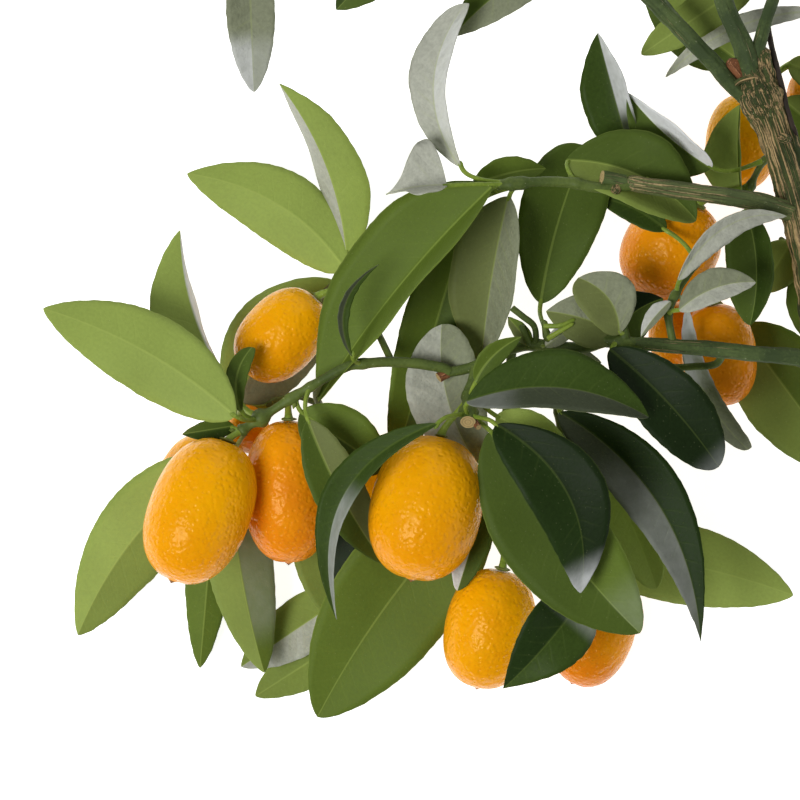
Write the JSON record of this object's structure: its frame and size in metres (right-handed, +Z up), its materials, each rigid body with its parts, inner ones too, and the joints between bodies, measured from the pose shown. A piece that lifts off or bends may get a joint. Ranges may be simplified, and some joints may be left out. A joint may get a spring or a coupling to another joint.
{
  "type": "kumquat branch",
  "caption": "Cut kumquat branch lying down: bark-covered stem, green boughs, leafy sprays and small oval orange fruits hanging on short stalks.",
  "frame": {"origin": "on the ground below the middle of the branch, as it lies", "axes": "+Z up from the ground, +Y from the cut end of the stem towards the crown, +X from the leafy tips towards the stem"},
  "size_m": [0.2228, 0.2368, 0.0713],
  "materials": {
    "bark": "matt brown bark in long ridges, green in the furrows",
    "green_bark": "smooth green young bark with brown streaks",
    "leaf": "glossy dark green above, matt pale green below",
    "peel": "waxy orange peel with fine oil pits"
  },
  "bodies": {
    "root": {"main_stem": "bark", "fork_left": "green_bark", "fork_middle": "green_bark", "fork_right": "green_bark", "upper_bough": "green_bark", "lower_bough": "green_bark", "upper_tip_spray": "leaf", "cluster_spray": "leaf", "lower_left_spray": "leaf", "rear_right_spray": "leaf", "middle_right_spray": "leaf", "stem_right_spray": "leaf", "stem_low_spray": "leaf", "rear_top_spray": "leaf", "crown_right_spray": "leaf", "crown_spray": "leaf", "fruit_01": "peel", "fruit_02": "peel", "fruit_03": "peel", "fruit_04": "peel", "fruit_05": "peel", "fruit_06": "peel", "fruit_07": "peel", "fruit_08": "peel", "fruit_09": "peel", "fruit_10": "peel", "fruit_11": "peel", "fruit_12": "peel", "fruit_13": "peel", "fruit_14": "peel"}
  },
  "joints": []
}
